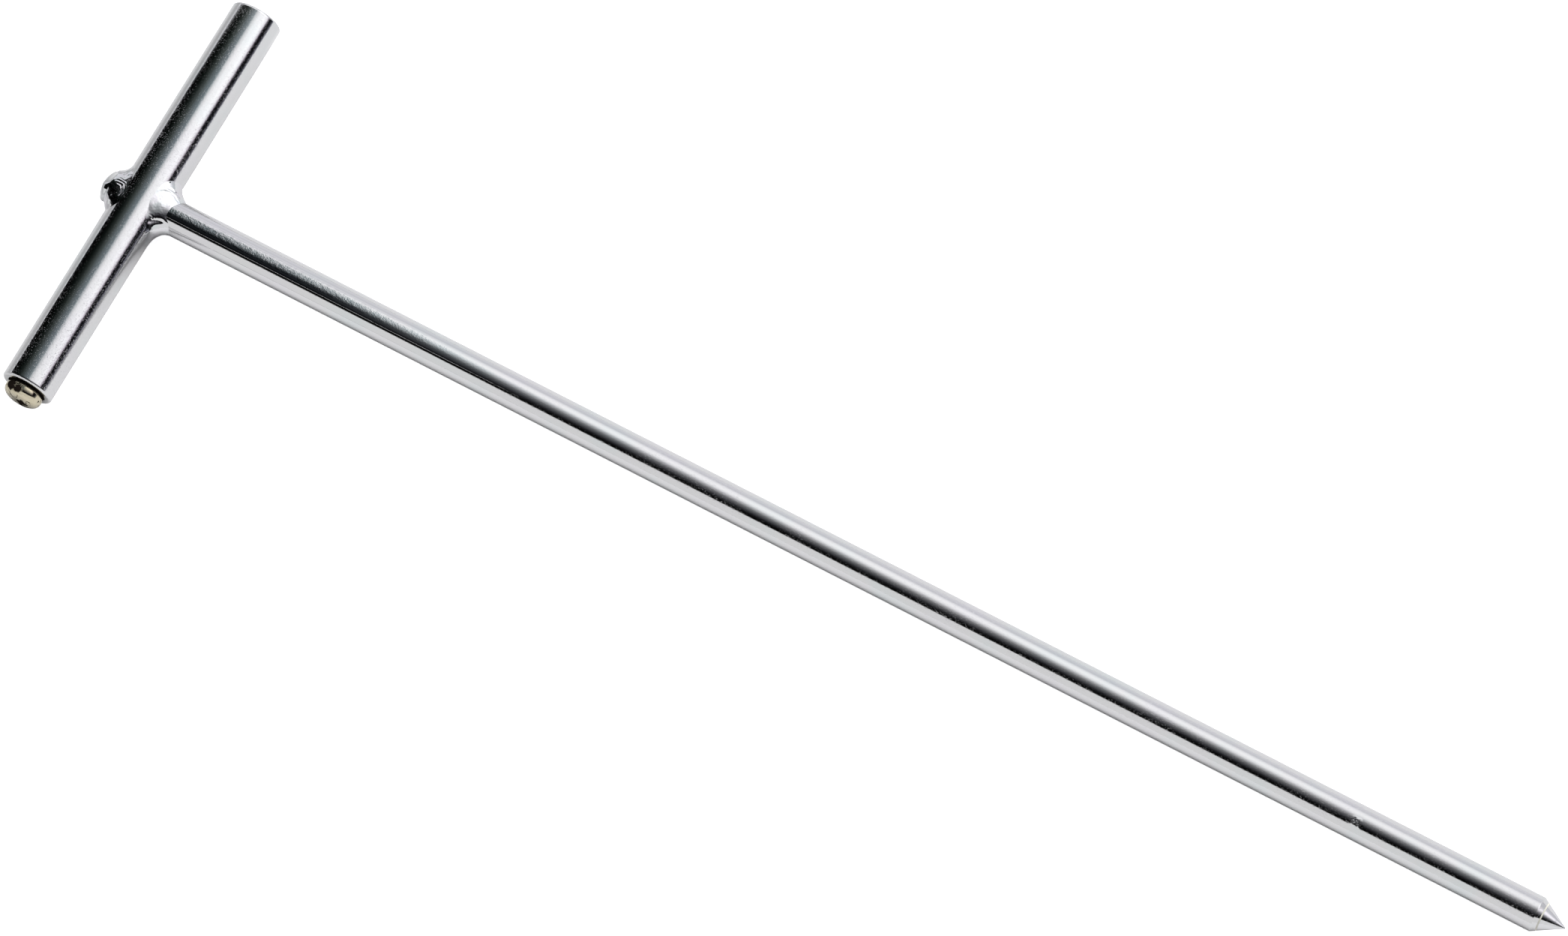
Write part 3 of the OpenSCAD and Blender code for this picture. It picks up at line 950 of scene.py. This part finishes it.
def make_weld(name, node, way, radius, handle_legs, rod_legs, hollows, lift):
    """Fillet between the handle and a rod of the given radius, on the side that way points to.

    The legs, in mm, and the hollow are keyed by the turn about the rod: 0 at the far end of the
    handle, 90 at the top, 180 at the capped end. A hollow of 0 is a flat face, and 1 sags to the
    corner. lift(place) raises the face at a place, both in mm.
    """
    turns, steps = 320, 48
    dig = 0.3 * MM  # how far the hidden corners reach into the tubes
    points, faces = [], []
    for i in range(turns):
        turn = TURN * i / turns
        degrees = 360 * i / turns
        side, up = math.cos(turn), math.sin(turn)
        out = Vector((0.0, side, up))
        corner_x = math.sqrt(HANDLE_R**2 - (radius * up) ** 2)
        corner = Vector((corner_x, radius * side, radius * up))
        leg = keyed(degrees, handle_legs) * MM
        lean = math.asin(radius * up / HANDLE_R) + leg * up / HANDLE_R
        handle_out = Vector((math.cos(lean), 0.0, math.sin(lean)))
        handle_toe = handle_out * HANDLE_R + Vector((0.0, (radius + leg) * side, 0.0))
        rod_toe = corner + Vector((keyed(degrees, rod_legs) * MM, 0.0, 0.0))
        middle = (handle_toe + rod_toe) / 2
        control = middle + (corner - middle) * keyed(degrees, hollows)
        face_out = (middle - corner).normalized()
        section = []
        for step in range(steps + 1):
            share = step / steps
            place = (
                handle_toe * (1 - share) ** 2
                + control * 2 * share * (1 - share)
                + rod_toe * share**2
            )
            where = Vector((way * place.x, place.y, place.z)) / MM
            section.append(place + face_out * bell(share) * lift(where) * MM)
        corner_out = Vector((corner.x, 0.0, corner.z)).normalized()
        section.append(rod_toe - out * dig)
        section.append(corner - (out + corner_out) * dig)
        section.append(handle_toe - handle_out * dig)
        points += [(way * p.x, p.y, p.z) for p in section]
    size = steps + 4
    for i in range(turns):
        j = (i + 1) % turns
        for k in range(size):
            m = (k + 1) % size
            faces.append((i * size + k, j * size + k, j * size + m, i * size + m))
    add_piece(name, points, faces, WELD_PLATING, "spear", [node], sharp=50)


def bell(share):
    """0 at both toes, and 1 over most of the face."""
    return math.sin(math.pi * share) ** 0.7


def ripples(place, centre, nearest, farthest, pitch, toward):
    """Uneven ridges around a point where a weld pool stopped, on the side toward points to."""
    reach = place - centre
    distance = reach.length + 0.5 * noise.noise(place * 0.5 + Vector((8, 3, 6)))
    window = smooth_step(distance, nearest, nearest + pitch)
    window *= 1 - smooth_step(distance, farthest - pitch, farthest)
    window *= smooth_step(reach.normalized().dot(toward.normalized()), 0.05, 0.65)
    return window * math.sin(TURN * distance / pitch)


def closest_on(start, end, place):
    """The point of a straight line between two ends that is nearest to a place."""
    run = end - start
    share = min(max((place - start).dot(run) / run.length_squared, 0.0), 1.0)
    return start + run * share


def make_front_weld():
    """Full, smooth bead towards the point, with an undercut on its capped side."""
    pool = Vector((9.5, -9.5, 9.0))
    crest = Vector((12.0, 0.0, 9.0))
    groove_start = Vector((8.4, -9.8, 8.4))
    groove_end = Vector((14.2, -5.6, 6.0))

    def lift(place):
        lump = 0.13 * noise.noise(place * 0.33)
        fine = 0.022 * noise.noise(place * 1.3 + Vector((5, 2, 9)))
        near_side = 0.05 * ripples(place, pool, 0.6, 4.2, 1.15, Vector((1, 1, 0)))
        far_side = 0.12 * ripples(place, crest, 5.5, 10.5, 1.8, Vector((0.4, 1, -0.3)))
        off_groove = (place - closest_on(groove_start, groove_end, place)).length
        groove = 0.28 * math.exp(-((off_groove / 0.9) ** 2))
        return lump + fine + near_side + far_side - groove

    make_weld(
        "front_weld_bead",
        "front_weld",
        1,
        SHAFT_R,
        handle_legs=[
            (0, 5.9),
            (40, 7.0),
            (85, 4.3),
            (114, 4.0),
            (132, 5.2),
            (180, 9.8),
            (220, 6.0),
            (300, 6.0),
        ],
        rod_legs=[(0, 6.0), (50, 6.5), (90, 5.7), (115, 5.2), (135, 6.4), (180, 6.3), (270, 5.8)],
        hollows=[(0, 0.32), (60, 0.10), (112, 0.0), (136, 0.55), (180, 0.88), (240, 0.6), (300, 0.5)],
        lift=lift,
    )


def make_tail_weld():
    """Lumpier bead around the tail, with the ripples of its last pool on top."""
    pool = Vector((-11.2, -3.8, 8.0))

    def lift(place):
        lump = 0.22 * noise.noise(place * 0.45 + Vector((1, 7, 3)))
        fine = 0.05 * noise.noise(place * 1.5)
        pooled = 0.15 * ripples(place, pool, 2.4, 7.0, 1.35, Vector((0.75, 0.65, 0)))
        return lump + fine + pooled

    make_weld(
        "tail_weld_bead",
        "tail_weld",
        -1,
        SPIGOT_R,
        handle_legs=[(0, 4.5), (40, 4.7), (85, 3.7), (125, 6.7), (150, 6.6), (182, 2.2), (270, 3.4)],
        rod_legs=[(0, 4.0), (60, 4.4), (95, 5.6), (130, 4.8), (160, 3.6), (182, 2.4), (270, 3.4)],
        hollows=[(0, 0.75), (60, 0.3), (95, 0.0), (125, -0.3), (155, -0.1), (182, 0.6), (270, 0.5)],
        lift=lift,
    )


# ---------------------------------------------------------------- point
def make_point():
    """Steel point with its stud, and the insulating ring under it."""
    slope = SHAFT_R / CONE_LEN
    base_x = NOSE_END + RING_T - 0.12 * MM
    base_r = SHAFT_R - (base_x - SHOULDER_X) * slope
    stud_r = 2.5 * MM
    stud_end = shaft_reach("point", 0)
    flat_r = 0.25 * MM
    corners = [
        (stud_end, 0.0, 0.0),
        (stud_end, stud_r, 0.3 * MM),
        (base_x, stud_r, 0.0),
        (base_x, base_r, 0.05 * MM),
        (POINT_X, flat_r, 0.1 * MM),
        (POINT_X, 0.0, 0.0),
    ]
    points, faces = turned(soften(corners), "X", 160)
    add_piece("cone_point", points, faces, POINT_STEEL, "spear", ["point"])

    back = NOSE_END - 16 * MM
    nose_r = SHAFT_R - NOSE_LEN * slope
    corners = [
        (back, stud_r, 0.0),
        (back, SHAFT_BORE_R, 0.2 * MM),
        (NOSE_END, SHAFT_BORE_R, 0.0),
        (NOSE_END, nose_r, 0.05 * MM),
        (base_x, base_r, 0.05 * MM),
        (base_x, stud_r, 0.0),
    ]
    points, faces = turned(soften(corners), "X", 160)
    add_piece("insulating_ring", points, faces, RESIN, "spear", ["point_insulator"])


# ---------------------------------------------------------------- cap
def make_cap():
    """Domed plug with a groove for its seal, a neck just outside the handle and a dented crown."""
    front = -HANDLE_HALF
    seal_depth = 5 * MM
    groove_half = 1.05 * MM
    groove_r = across("cap_seal") / 2 - 1.5 * MM
    neck_r = CAP_R - 0.8 * MM
    neck_start, neck_end = front + 0.5 * MM, -CAP_NECK
    crown_start = front - 1.8 * MM
    corners = [
        (CAP_BACK, 0.0, 0.0),
        (CAP_BACK, CAP_R, 0.4 * MM),
        (front + seal_depth + groove_half, CAP_R, 0.1 * MM),
        (front + seal_depth + groove_half, groove_r, 0.1 * MM),
        (front + seal_depth - groove_half, groove_r, 0.1 * MM),
        (front + seal_depth - groove_half, CAP_R, 0.1 * MM),
        (neck_start, CAP_R, 0.2 * MM),
        (neck_start - 0.3 * MM, neck_r, 0.2 * MM),
    ]
    outline = [tuple(point) for point in soften(corners, 4)]
    for step in range(9):
        turn = math.radians(90) * step / 8
        along = neck_end - (neck_end - crown_start) * (1 - math.cos(turn))
        outline.append((along, neck_r + (CAP_R - neck_r) * math.sin(turn)))
    rise = crown_start - CAP_FRONT
    squareness = 0.70
    dent_depth = 0.10 * MM
    steps = 40
    for step in range(1, steps + 1):
        turn = math.radians(90) * step / steps
        radius = CAP_R * max(math.cos(turn), 0.0) ** squareness
        along = crown_start - rise * math.sin(turn) ** squareness
        outline.append((along, 0.0 if step == steps else radius))
    points, faces = turned(outline, "Y", 192)
    dented = []
    for x, y, z in points:
        outer = 1 - smooth_step(y, CAP_FRONT, crown_start)
        unevenness = (1 + noise.noise(Vector((x, y, z)) * 240 + Vector((3, 1, 8)))) / 2
        dented.append((x, y + outer * dent_depth * unevenness, z))
    add_piece("cap", dented, faces, CAP_METAL, "cap", ["end_cap"])


# ---------------------------------------------------------------- pieces the frame already shapes
def dress(node, material):
    """A CAD node that keeps its shape and gets a finished material."""
    mesh_object = frame["nodes"][node]
    mesh_object.data.materials.clear()
    mesh_object.data.materials.append(material)


def dress_frame():
    finishes = {
        "point_washer": FASTENER_STEEL,
        "point_nut": FASTENER_STEEL,
        "jack_washer": FASTENER_STEEL,
        "point_terminal": CONTACT_BRASS,
        "jack_contact": CONTACT_BRASS,
        "centring_bush": WHITE_NYLON,
        "jack_insulator": WHITE_NYLON,
        "lead_sheath": LEAD_PVC,
        "lead_conductor": LEAD_COPPER,
        "lead_grommet": RUBBER,
        "cap_seal": RUBBER,
        "jack_carrier": CARRIER_METAL,
        "jack_barrel": JACK_NICKEL,
        "jack_nut": JACK_NICKEL,
    }
    for node, material in finishes.items():
        dress(node, material)


make_handle()
make_shaft()
make_tail()
make_far_plug()
make_front_weld()
make_tail_weld()
make_point()
make_cap()
dress_frame()
